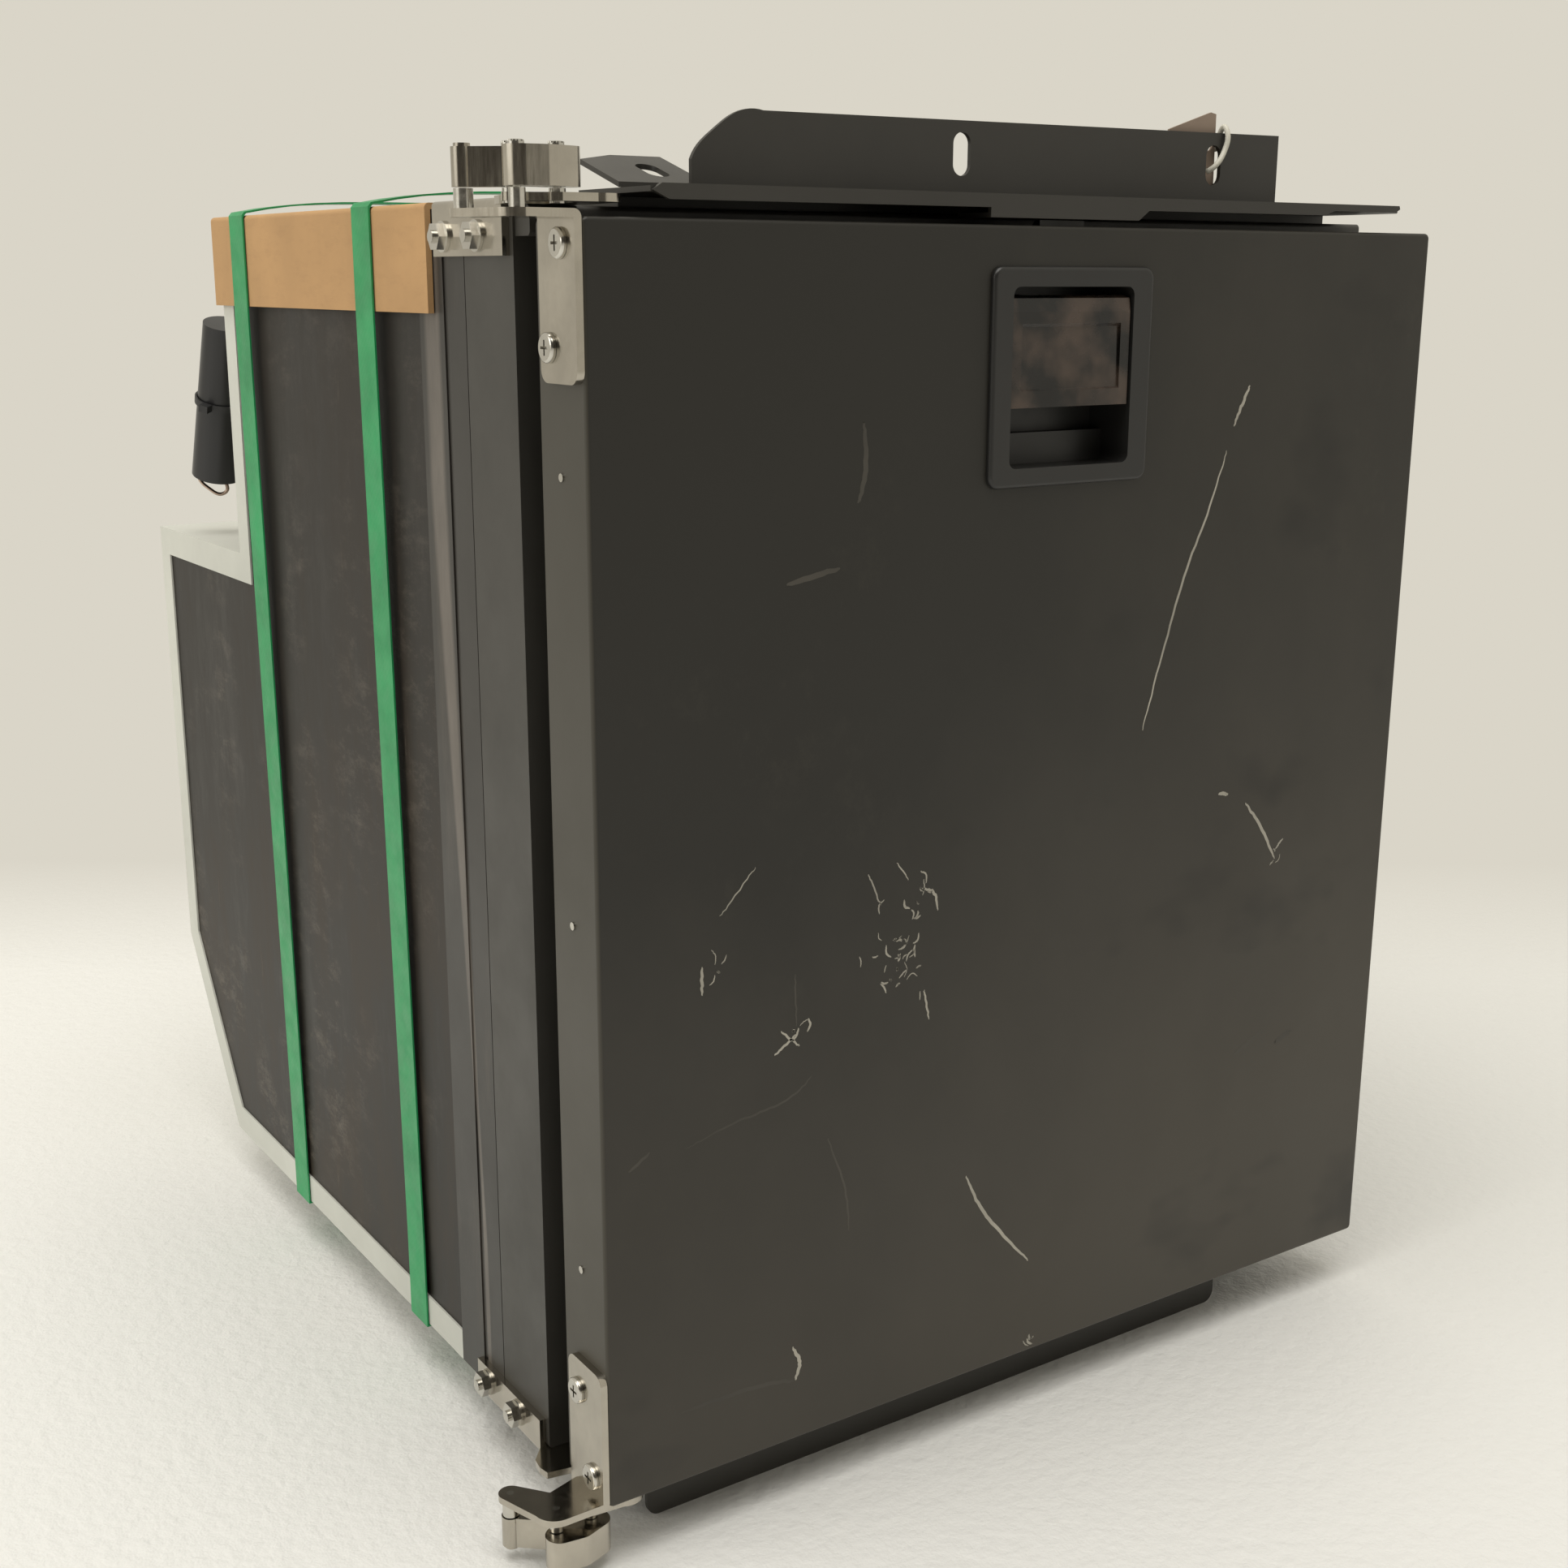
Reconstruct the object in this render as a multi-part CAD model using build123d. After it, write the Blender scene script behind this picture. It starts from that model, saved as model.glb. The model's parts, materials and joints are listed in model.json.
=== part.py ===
from build123d import *
import os
from math import cos, hypot, pi, radians, sin

# Built-in front-opening compressor refrigerator for a camper, boat or cab.
# Units are mm. While modelling, x runs from the door's hinge side, y from the
# door's front into the cabinet, z from the door's bottom edge. Every node is
# moved by ORIGIN when it is written, so the row frame sits at the centre of
# the bottom of the bounding box, with -Y towards the front.

os.makedirs("parts", exist_ok=True)

# ---- overall sizes ----
WIDTH = 450.0
DOOR_TOP = 512.0
DOOR_BACK = 35.0
FRAME_FRONT = 54.0
FRAME_BACK = 97.0
SKIRT_FRONT = 97.6
SKIRT_BACK = 142.0
CAB_BOTTOM = -1.0
CAB_TOP = 517.0
CAB_BACK = 526.0
STEP_Y = 387.0
STEP_Z = 350.5
WEDGE_Y = 457.0
WEDGE_Z = 102.0
FLOOR_Z = -28.0
SHEET = 1.0
LIP = 15.0

# ---- cavity ----
CAV_X0 = 44.0
CAV_X1 = 406.0
CAV_Z0 = 38.0
CAV_Z1 = 474.0
CAV_UPPER_BACK = 345.0
CAV_STEP_Z = 312.0
CAV_BACK = 485.0
LINER = 2.0
SHELF_Z = (262.0, 152.0)
FLAP_AXIS = (160.5, 467.0)

# ---- hinge linkage, plan positions of the four pins of each hinge ----
PIN_C1 = (-18.06, 18.0)
PIN_C2 = (-3.99, 9.96)
PIN_D1 = (-30.96, 28.98)
PIN_D2 = (-20.01, 9.0)
PIN_R = 1.5
BORE_R = 1.55
KNUCKLE_R = 3.1
HINGE_MIRROR_Z = 514.5 / 2
DOOR_LEAF = (511.5, 514.5)
COLLAR = (514.5, 521.3)
LINK = (521.7, 535.2)
PIN_HEAD_TOP = 536.4

# ---- latch ----
BEZEL = (184.5, 272.0, 407.0, 496.0)
RECESS = (194.6, 260.5, 415.0, 488.0)
POT_DEPTH = 24.0
PADDLE_AXIS = (6.0, 481.5)
BOLT_X = (216.0, 240.0)
BOLT_Y = (8.0, 14.0)
BOLT_FOOT = 488.2
BOLT_TOP = 514.4
SPRING_X = (198.0, 251.0)

# ---- machinery bay behind the step ----
COMP = (155.0, 456.0)
FOOT_XY = [(118.0, 412.0), (192.0, 412.0), (118.0, 500.0), (192.0, 500.0)]
FAN_AXIS = (458.0, 422.0)
PLATE_Z = (350.6, 352.1)
SLEEVE_LOW = (18.0, 470.0, 384.0)
SLEEVE_HIGH = (18.0, 441.0, 466.6)
COLD_PATH = [(21.0, 443.5, 457.5), (62.0, 431.0, 456.0), (100.8, 430.0, 456.0)]
SLEEVE_R = (14.0, 11.5)

# ---- fasteners ----
HOOD_SCREW_X = (90.0, 240.0, 390.0)
TAB_FASTENER_Y = (78.5, 108.5)
TAB_FASTENER_Z = (506.5, 5.0)
TOP_SCREWS = ((11.0, 503.0), (21.0, 466.6))
LOW_SCREWS = ((20.0, 2 * HINGE_MIRROR_Z - 46.0), (9.0, 2 * HINGE_MIRROR_Z - 11.5))
SCREW_PLACES = list(TOP_SCREWS) + [(y, 2 * HINGE_MIRROR_Z - z) for y, z in LOW_SCREWS]
RIVET_Z = (420.0, 247.0, 100.0)

# ---- top flange and packing ----
FLANGE_Y = 25.0
FLANGE_T = 2.0
FLANGE_TOP = 554.0
STRAP_W = 19.0
STRAP_T = 0.8
STRAP_Y = (180.5, 338.5)

ORIGIN = (207.67, 261.75, FLOOR_Z)


# ---------------------------------------------------------------- helpers
def block(x0, x1, y0, y1, z0, z1):
    return Pos((x0 + x1) / 2, (y0 + y1) / 2, (z0 + z1) / 2) * Box(x1 - x0, y1 - y0, z1 - z0)


def rod_x(y, z, radius, x0, x1):
    return Pos((x0 + x1) / 2, y, z) * Rot(0, 90, 0) * Cylinder(radius, x1 - x0)


def rod_y(x, z, radius, y0, y1):
    return Pos(x, (y0 + y1) / 2, z) * Rot(90, 0, 0) * Cylinder(radius, y1 - y0)


def rod_z(x, y, radius, z0, z1):
    return Pos(x, y, (z0 + z1) / 2) * Cylinder(radius, z1 - z0)


def slab_z(sketch, z0, z1):
    return extrude(Pos(0, 0, z0) * sketch, amount=z1 - z0, dir=(0, 0, 1))


def prism_x(sketch, x0, x1):
    """Extrude a sketch drawn in (y, z) from x0 to x1."""
    return extrude(Plane.YZ.offset(x0) * sketch, amount=x1 - x0, dir=(1, 0, 0))


def prism_y(sketch, y0, y1):
    """Extrude a sketch drawn in (x, z) from y0 to y1."""
    return extrude(Plane.XZ.offset(-y1) * sketch, amount=y1 - y0, dir=(0, -1, 0))


def rect(u0, u1, v0, v1, radius=0.0):
    shape = Rectangle(u1 - u0, v1 - v0) if radius == 0 else RectangleRounded(u1 - u0, v1 - v0, radius)
    return Pos((u0 + u1) / 2, (v0 + v1) / 2) * shape


def poly(*points):
    return Polygon(*points, align=None)


def disc(at, radius):
    return Pos(at[0], at[1]) * Circle(radius)


def capsule(a, b, radius_a, radius_b):
    return make_hull((disc(a, radius_a) + disc(b, radius_b)).edges())


def tube(points, radius, ends=None):
    path = Spline(*points) if ends is None else Spline(*points, tangents=ends)
    return sweep(Plane(origin=path @ 0, z_dir=path % 0) * Circle(radius), path=path)


def bent_tube(points, radius, bend):
    path = FilletPolyline(*points, radius=bend)
    return sweep(Plane(origin=path @ 0, z_dir=path % 0) * Circle(radius), path=path)


def both_hinges(shape):
    return [shape, mirror(shape, about=Plane.XY.offset(HINGE_MIRROR_Z))]


def low(shape):
    return mirror(shape, about=Plane.XY.offset(HINGE_MIRROR_Z))


def write(name, shapes):
    """Move the shapes to the row frame and write them as one node."""
    shapes = shapes if isinstance(shapes, list) else [shapes]
    solids = [s for shape in shapes for s in shape.solids()]
    moved = [Pos(-ORIGIN[0], -ORIGIN[1], -ORIGIN[2]) * s for s in solids]
    node = moved[0] if len(moved) == 1 else Compound(children=moved)
    node.label = name
    export_step(node, f"parts/{name}.step")


# ---------------------------------------------------------------- cabinet
def outline(front, inset=0.0):
    """Side outline of the cabinet in (y, z), moved inward, open at the front."""
    shape = poly((front - inset, CAB_BOTTOM), (WEDGE_Y, CAB_BOTTOM), (CAB_BACK, WEDGE_Z),
                 (CAB_BACK, STEP_Z), (STEP_Y, STEP_Z), (STEP_Y, CAB_TOP), (front - inset, CAB_TOP))
    return shape if inset == 0 else offset(shape, amount=-inset, kind=Kind.INTERSECTION)


def cavity(front, outset=0.0):
    """Side outline of the food compartment in (y, z), moved outward."""
    shape = poly((front + outset, CAV_Z0), (435, CAV_Z0), (CAV_BACK, 112.6), (CAV_BACK, CAV_STEP_Z),
                 (CAV_UPPER_BACK, CAV_STEP_Z), (CAV_UPPER_BACK, CAV_Z1), (front + outset, CAV_Z1))
    return shape if outset == 0 else offset(shape, amount=outset, kind=Kind.INTERSECTION)


def outer_wrapper():
    shell = prism_x(outline(SKIRT_BACK), 0, WIDTH)
    shell -= prism_x(outline(SKIRT_BACK, SHEET), SHEET, WIDTH - SHEET)
    window = outline(SKIRT_BACK, LIP)
    return shell - prism_x(window, -1, WIDTH + 1)


def side_panel(x0):
    return prism_x(outline(SKIRT_BACK, SHEET + 0.1), x0, x0 + SHEET)


def front_frame():
    frame = block(0, WIDTH, FRAME_FRONT, FRAME_BACK, CAB_BOTTOM, CAB_TOP)
    frame = fillet(frame.edges().filter_by(Axis.Y), 1.5)
    frame -= block(2, WIDTH - 2, FRAME_FRONT + 2, FRAME_BACK + 1, CAB_BOTTOM + 2, CAB_TOP - 2)
    frame -= block(CAV_X0, CAV_X1, FRAME_FRONT - 1, FRAME_BACK, CAV_Z0, CAV_Z1)
    brow = block(1, WIDTH - 1, 42, FRAME_FRONT, 506, CAB_TOP)
    brow = fillet(brow.edges().filter_by(Axis.X).group_by(Axis.Y)[0], 2)
    return frame + brow


def frame_skirt():
    skirt = block(0, WIDTH, SKIRT_FRONT, SKIRT_BACK - 0.1, CAB_BOTTOM, CAB_TOP)
    skirt -= block(-1, WIDTH + 1, 114, 118, CAB_BOTTOM - 1, CAB_TOP + 1) - block(
        0.6, WIDTH - 0.6, 114, 118, CAB_BOTTOM + 0.6, CAB_TOP - 0.6)
    return skirt - block(1.6, WIDTH - 1.6, SKIRT_FRONT - 1, SKIRT_BACK + 1,
                         CAB_BOTTOM + 1.6, CAB_TOP - 1.6)


def cabinet_insulation():
    """Foam between the liner and the sheets, as convex slabs."""
    front = 58.5
    full = outline(front, 2.5)
    around = full - cavity(front - 5, 2.2)
    gap = 0.05
    split = 348.0
    inner_z = (CAV_Z0 - 2.2, 111.93, CAV_STEP_Z + 2.2, CAV_Z1 + 2.2)
    cells = [rect(0, 600, -20, inner_z[0] - gap), rect(400, 600, inner_z[0] + gap, inner_z[1] - gap),
             rect(CAV_BACK + 2.2, 600, inner_z[1] + gap, split - gap),
             rect(347.2, CAV_BACK + 2.1, inner_z[2], split - gap),
             rect(347.2, 600, split + gap, 600), rect(0, 347.1, inner_z[3], 600)]
    slabs = [prism_x(around & cell, 41.9, 408.1) for cell in cells]
    for x0, x1 in ((2.5, 41.8), (408.2, WIDTH - 2.5)):
        slabs.append(prism_x(full & rect(0, 600, -20, split - gap), x0, x1))
        slabs.append(prism_x(full & rect(0, 600, split + gap, 600), x0, x1))
    return slabs


def inner_liner():
    liner = prism_x(cavity(56.2, LINER), CAV_X0 - LINER, CAV_X1 + LINER)
    liner -= prism_x(cavity(55, 0), CAV_X0, CAV_X1)
    flange = block(30, 420, 56.2, 58.2, 24, 488)
    flange -= block(CAV_X0, CAV_X1, 50, 60, CAV_Z0, CAV_Z1)
    liner = liner + flange
    for z, back in ((SHELF_Z[0] - 2.9, 470), (SHELF_Z[1] - 2.9, 470), (367.6, 334)):
        for x0, x1 in ((CAV_X0 - 0.5, CAV_X0 + 5), (CAV_X1 - 5, CAV_X1 + 0.5)):
            liner += block(x0, x1, 122, back, z - 5, z)
    return liner


# ---------------------------------------------------------------- cold side fittings


def evaporator():
    box = block(62, 388, 166, 335, 384, 470) - block(63.6, 386.4, 160, 333.4, 385.6, 468.4)
    for x0 in (62.0, 386.4):
        ear = block(x0, x0 + 1.6, 155, 168, 459, 470)
        box += ear
        box -= rod_x(FLAP_AXIS[0], FLAP_AXIS[1], 2.05, x0 - 1, x0 + 3)
    for x0 in (80.0, 354.0):
        for y0 in (180.0, 300.0):
            box += block(x0, x0 + 16, y0, y0 + 12, 469.5, 473.9)
    for i in range(6):
        x0 = 92 + 46 * i
        box += block(x0, x0 + 8, 180, 330, 382.4, 384.5)
    return box


def freezer_flap():
    flap = block(64.4, 385.6, 159, 162, 388, 465)
    flap += rod_x(FLAP_AXIS[0], FLAP_AXIS[1], 2.9, 64.4, 385.6)
    flap += rod_x(FLAP_AXIS[0], FLAP_AXIS[1], 2.0, 61, 389)
    grip = block(200, 250, 154, 160, 388, 391)
    return flap + grip


def drip_tray():
    tray = block(49.5, 400.5, 128, 334, 368, 377) - block(51, 399, 129.5, 332.5, 369.5, 378)
    rim = block(44.6, 405.4, 126, 336, 375.5, 377) - block(50, 400, 128.5, 333.5, 375, 378)
    feet = [block(x0, x0 + 5, 128, 334, 367.7, 376) for x0 in (44.6, 400.4)]
    return tray + rim + feet[0] + feet[1]


def wire_shelf(z):
    wires = [rod_x(y, z, 2.5, 46, 404) for y in (120.0, 290.0, 478.0)]
    wires += [rod_y(x, z, 2.5, 118, 480) for x in (48.0, 402.0)]
    wires += [rod_y(52 + 17.3 * i, z + 1.2, 1.4, 119, 479) for i in range(21)]
    shelf = wires[0]
    for wire in wires[1:]:
        shelf += wire
    return shelf


def crisper_bin():
    bin_box = block(64, 386, 160, 410, 38.4, 138)
    bin_box = fillet(bin_box.edges().filter_by(Axis.Z), 12)
    inner = block(66, 384, 162, 408, 40.4, 139)
    inner = fillet(inner.edges().filter_by(Axis.Z), 10)
    bin_box -= inner
    rim = block(60, 390, 156, 414, 136, 138) - block(67, 383, 163, 407, 135, 139)
    pull = block(180, 270, 150, 158, 128, 138) - block(184, 266, 152, 157, 127, 136)
    return bin_box + rim + pull


def thermostat_housing():
    box = block(382, 405.8, 120, 200, 285, 345)
    box = fillet(box.edges().filter_by(Axis.X), 6)
    box -= rod_x(150, 315, 3.05, 381, 392)
    return box - block(381, 386, 174, 194, 295, 335)


def thermostat_knob():
    knob = rod_x(150, 315, 15, 373, 381.6)
    for i in range(12):
        angle = 2 * pi * i / 12
        knob -= rod_x(150 + 16.2 * cos(angle), 315 + 16.2 * sin(angle), 2.4, 372, 379)
    knob += block(371.4, 374, 148.6, 151.4, 302, 328)
    return knob + rod_x(150, 315, 3.0, 381, 391.5)


def lamp_lens():
    lens = block(378.5, 385.8, 174.3, 193.7, 295.3, 334.7)
    return fillet(lens.edges().filter_by(Axis.X), 3)


# ---------------------------------------------------------------- machinery bay


def compressor_mount_plate():
    plate = block(70, 430, 392, 522, *PLATE_Z)
    plate += block(70, 430, 520.5, 522, 350.6, 362)
    for x, y in FOOT_XY:
        plate -= rod_z(x, y, 2.6, 349, 354)
    return plate


def grommets():
    pads = []
    for x, y in FOOT_XY:
        pad = rod_z(x, y, 7.5, PLATE_Z[1] + 0.1, 361) - rod_z(x, y, 3.2, 350, 364)
        pad -= rod_z(x, y, 9, 355, 357) - rod_z(x, y, 6, 354, 358)
        pads.append(pad)
    return pads


def compressor_bolts():
    bolts = []
    for x, y in FOOT_XY:
        bolts.append(rod_z(x, y, 2.5, PLATE_Z[0] + 0.1, 370) + slab_z(disc((x, y), 5.5), 363.2, 364.2)
                     + slab_z(Pos(x, y) * RegularPolygon(4.6, 6), 364.2, 368.6))
    return bolts


def compressor():
    shell = rod_z(*COMP, 42, 366, 470)
    shell = fillet(shell.edges().group_by(Axis.Z)[-1], 24)
    shell = fillet(shell.edges().group_by(Axis.Z)[0], 14)
    seam = rod_z(*COMP, 45, 418, 424)
    base = slab_z(rect(106, 204, 402, 510, 8), 361.1, 363.1)
    for x, y in FOOT_XY:
        base -= rod_z(x, y, 3.0, 360, 364)
    pad = rod_z(*COMP, 26, 362.5, 368)
    terminal = block(185, 222, 436, 478, 385, 440)
    stub = rod_x(430, 456, 4.5, 101, 125)
    discharge = rod_z(175, 470, 3.2, 455, 480)
    return shell + seam + base + pad + terminal + stub + discharge


def controller():
    case = fillet(block(238, 286, 402, 436, 356, 430).edges().filter_by(Axis.Z), 3)
    for i in range(7):
        case += block(242 + 6 * i, 244 + 6 * i, 435, 446, 360, 426)
    case += block(234, 290, 404, 428, PLATE_Z[1] + 0.1, 357)
    return case + block(250, 262, 398, 404, 372, 388) + block(266, 278, 398, 404, 372, 388)


def filter_drier():
    body = rod_z(262, 490, 9, 378, 444)
    body = chamfer(body.edges(), 4)
    clip = block(256, 268, 500, 506, PLATE_Z[1] + 0.1, 440) + block(257, 267, 488, 503, 396, 404)
    return body + clip + rod_z(262, 490, 3, 372, 460)


def fan_shroud():
    shroud = block(306, 330, 404, 512, PLATE_Z[1] + 0.1, 484)
    shroud = fillet(shroud.edges().filter_by(Axis.X), 5)
    shroud -= rod_x(*FAN_AXIS, 50, 300, 340)
    motor = rod_x(*FAN_AXIS, 15, 321.4, 330)
    for i in range(3):
        angle = radians(30 + 120 * i)
        y1 = FAN_AXIS[0] + 51.5 * cos(angle)
        z1 = FAN_AXIS[1] + 51.5 * sin(angle)
        arm = capsule(FAN_AXIS, (y1, z1), 3, 3)
        motor += prism_x(arm, 326, 330)
    shroud += motor
    return shroud - rod_x(*FAN_AXIS, 2.05, 318, 328)


def fan_rotor():
    rotor = rod_x(*FAN_AXIS, 14, 308, 320.6)
    for i in range(7):
        blade = extrude(Plane((314.3, FAN_AXIS[0], FAN_AXIS[1]), x_dir=(1, 0.9, 0), z_dir=(0, 0, 1))
                        * rect(-7.5, 7.5, -0.6, 0.6), amount=46)
        rotor += blade.rotate(Axis((0, FAN_AXIS[0], FAN_AXIS[1]), (1, 0, 0)), 360 / 7 * i)
    rotor &= rod_x(*FAN_AXIS, 48, 306.5, 321)
    return rotor + rod_x(*FAN_AXIS, 2.0, 320, 327.5)


def condenser():
    tubes = []
    for i in range(5):
        for x in (348.0, 368.0):
            tubes.append(rod_y(x, 376 + 22 * i, 3.5, 397, 519))
    core = tubes[0]
    for t in tubes[1:]:
        core += t
    for i in range(19):
        y = 402.5 + 6 * i
        core += block(338, 378, y, y + 0.5, 366, 478)
    for y in (398.0, 516.0):
        core += block(336, 380, y, y + 1.5, PLATE_Z[1] + 0.1, 482)
    return core + rod_z(348, 508, 3.5, 464, 486) + rod_x(517.2, 378, 3.5, 334, 348)


def refrigerant_pipes():
    hot = bent_tube([(175, 470, 480.5), (175, 470, 505), (348, 508, 505), (348, 508, 486.5)], 3.0, 9)
    liquid = bent_tube([(333.7, 517.2, 378), (298, 517.2, 378), (262, 490, 360), (262, 490, 371.5)], 2.5, 5)
    cold = bent_tube(COLD_PATH, 4.2, 9)
    return [hot, liquid, cold]


def sleeve_plane(along):
    """Cross-section plane of the foam sleeve at a distance above its lower end."""
    step = [b - a for a, b in zip(SLEEVE_LOW, SLEEVE_HIGH)]
    reach = hypot(*step)
    at = [a + d * along / reach for a, d in zip(SLEEVE_LOW, step)]
    return Plane(origin=at, z_dir=step, x_dir=(1, 0, 0))


SLEEVE_LENGTH = hypot(SLEEVE_HIGH[1] - SLEEVE_LOW[1], SLEEVE_HIGH[2] - SLEEVE_LOW[2])


def suction_line():
    """Tapered foam sleeve, hollow at its lower end."""
    sleeve = sleeve_plane(SLEEVE_LENGTH / 2) * Cone(SLEEVE_R[0], SLEEVE_R[1], SLEEVE_LENGTH)
    sleeve -= sleeve_plane(7) * Cylinder(11.4, 16)
    return sleeve - bent_tube(COLD_PATH, 4.4, 9)


def capillary_loop():
    side = (0.83, -0.556)
    drops = [(-9.5, 386.5), (-10.3, 381), (-5, 375.6), (1, 372.9), (4.5, 375), (3.5, 380.4), (2, 390)]
    return tube([(SLEEVE_LOW[0] + side[0] * u, SLEEVE_LOW[1] + side[1] * u, z) for u, z in drops], 1.0)


def cable_tie():
    centre = sleeve_plane(42)
    ring = extrude(centre * (Circle(14.1) - Circle(13.1)), amount=3.6)
    head = extrude(centre * (Rot(0, 0, 40) * rect(-18.5, -13.6, -2.6, 2.6)), amount=3.8)
    return ring + head


def power_inlet():
    case = fillet(block(398, 426, 470, 514, PLATE_Z[1] + 0.1, 384).edges().filter_by(Axis.Y), 3)
    for x in (407.0, 417.0):
        case -= rod_y(x, 369, 3.2, 505, 516)
    return case + rod_y(412, 369, 10.5, 513, 519) - rod_y(412, 369, 8.6, 512, 520)


# ---------------------------------------------------------------- mounting metalwork
def mounting_flange():
    """Angle with slotted upright and a folded left tab."""
    left_curve = Spline((60, 534), (63.5, 539.5), (70, 545), (78, 550.5), (92, 552.5))
    corners = [(92, 552.5), (371, FLANGE_TOP), (371, 523), (60, 523), (60, 534)]
    sides = [Line(a, b) for a, b in zip(corners, corners[1:])]
    outline_wire = Wire([left_curve] + sides)
    upright = prism_y(Face(outline_wire), FLANGE_Y, FLANGE_Y + FLANGE_T)
    for x in (188.0, 330.5):
        upright -= prism_y(Pos(x, 540) * Rot(0, 0, 90) * SlotOverall(17, 9), FLANGE_Y - 1, FLANGE_Y + 3)
    leg = block(68, 371, FLANGE_Y, 52, 523, 525)
    tab = prism_x(poly((FLANGE_Y, 523.1), (FLANGE_Y, 525.1), (62, 536.6), (62, 534.6)), 29, 68)
    tab -= slab_z(poly((28, 54), (47, 62.5), (28, 62.5)), 520, 545)
    tab -= slab_z(Pos(53, 42) * Rot(0, 0, 90) * SlotOverall(17, 9), 520, 545)
    return upright + leg + tab


def hood_plate():
    top = slab_z(poly((29, 2), (428, 2), (437, 10), (437, 56), (29, 56)), 521, 523)
    lip = prism_y(poly((36, 518.4), (378, 519), (384, 521), (425, 521), (428, 522.5), (427.4, 524),
                       (33, 524), (29, 521.5)), 0.5, 2.5)
    strike = prism_y(poly((184, 514.8), (264, 514.8), (270, 519), (184, 519)), 0.5, 2.5)
    strike += block(184, 264, 2, 22, 514.8, 516.8) + block(184, 264, 20, 22, 514.8, 521.5)
    riser = block(45, 437, 54.6, 56.6, 517.2, 522)
    foot = block(45, 437, 54.6, 96, 517.1, 519.1)
    plate = top + lip + strike + riser + foot
    for x in HOOD_SCREW_X:
        plate -= rod_z(x, 78, 2.4, 516, 520)
    return plate


def hood_screws():
    screws = []
    for x in HOOD_SCREW_X:
        screw = rod_z(x, 78, 2.2, 517.0, 520) + rod_z(x, 78, 5, 519.2, 521.2)
        cross = block(x - 3, x + 3, 77.4, 78.6, 520.4, 522) + block(x - 0.6, x + 0.6, 75, 81, 520.4, 522)
        screws.append(screw - cross)
    return screws


def base_flange():
    flat = block(30, 371, 22, 140, -3, CAB_BOTTOM - 0.1)
    upright = prism_y(rect(30, 371, FLOOR_Z, -1.1), 22, 24)
    upright = fillet(upright.edges().filter_by(Axis.Y).group_by(Axis.Z)[0], 6)
    bar = flat + upright
    for x in (90.0, 200.0, 311.0):
        bar -= slab_z(Pos(x, 80) * SlotOverall(17, 7), -5, 0)
    return bar


def rear_feet():
    feet = []
    for x in (60.0, 390.0):
        foot = rod_z(x, 430, 14, FLOOR_Z, CAB_BOTTOM - 0.1)
        feet.append(chamfer(foot.edges().group_by(Axis.Z)[0], 2))
    return feet


# ---------------------------------------------------------------- hinges
def cabinet_leaf():
    """Plan of the cabinet hinge leaf: side strip, neck and the arm that carries two pins."""
    strip = rect(-3, 22, 57, 119)
    bulge = poly((-3, 57), (-9, 50), (-10, 44), (-9, 38.6), (4.6, 36), (4.6, 57))
    neck = make_hull((disc((12.5, 10), 7.5) + rect(4.6, 20, 20, 40)).edges()) + rect(4.6, 21, 38, 58)
    arm = capsule(PIN_C2, (14, 8.5), 5.2, 5.5)
    heads = capsule(PIN_C1, PIN_C2, KNUCKLE_R + 0.2, 4.2)
    return strip + bulge + neck + arm + heads


def cabinet_bracket(leaf_z, tab_z):
    leaf = slab_z(cabinet_leaf(), *leaf_z)
    tab = prism_x(rect(57, 119, tab_z[0], tab_z[1]), -3, 0)
    bracket = leaf + tab
    fold = bracket.edges().filter_by(Axis.Y).filter_by(lambda e: abs(e.center().X + 3) < 0.1)
    outer = fold.sort_by(Axis.Z)[-1] if leaf_z[0] > 100 else fold.sort_by(Axis.Z)[0]
    bracket = fillet(outer, 2)
    for x, y in (PIN_C1, PIN_C2):
        bracket -= rod_z(x, y, BORE_R, leaf_z[0] - 1, leaf_z[1] + 1)
    z = TAB_FASTENER_Z[0] if leaf_z[0] > 100 else TAB_FASTENER_Z[1]
    for y in TAB_FASTENER_Y:
        bracket -= rod_x(y, z, 2.7, -5, 2)
    return bracket


def cabinet_bracket_nuts():
    nuts = []
    for z in TAB_FASTENER_Z:
        for y in TAB_FASTENER_Y:
            nut = rod_x(y, z, 6, -4.2, -3.05) + rod_x(y, z, 2.5, -9, -0.2)
            hexagon = prism_x(Pos(y, z) * RegularPolygon(5.7, 6), -7.6, -4.2)
            nuts.append(nut + hexagon)
    return nuts


def cabinet_pin(at, z_low, z_high, washer):
    pin = rod_z(at[0], at[1], PIN_R, z_low, z_high)
    pin += rod_z(at[0], at[1], KNUCKLE_R - 0.2, z_high, z_high + 1.0)
    pin += rod_z(at[0], at[1], KNUCKLE_R - 0.3, z_low - 0.7, z_low)
    return pin + rod_z(at[0], at[1], KNUCKLE_R - 0.1, *washer)


def cabinet_pins():
    places = (PIN_C1, PIN_C2)
    upper = [cabinet_pin(at, 517, LINK[1] + 0.2, (520.05, 521.4)) for at in places]
    lower = [low(cabinet_pin(at, 515.5, LINK[1] + 0.2, (518.55, 521.4))) for at in places]
    return upper + lower


def door_leaf():
    """Plan of the door bracket's horizontal leaf."""
    front = make_hull((disc((PIN_D2[0], 9.4), 9.4) + rect(-3, 0, 0, 24)).edges())
    return front + capsule(PIN_D2, PIN_D1, 9.0, 5.0)


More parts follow.
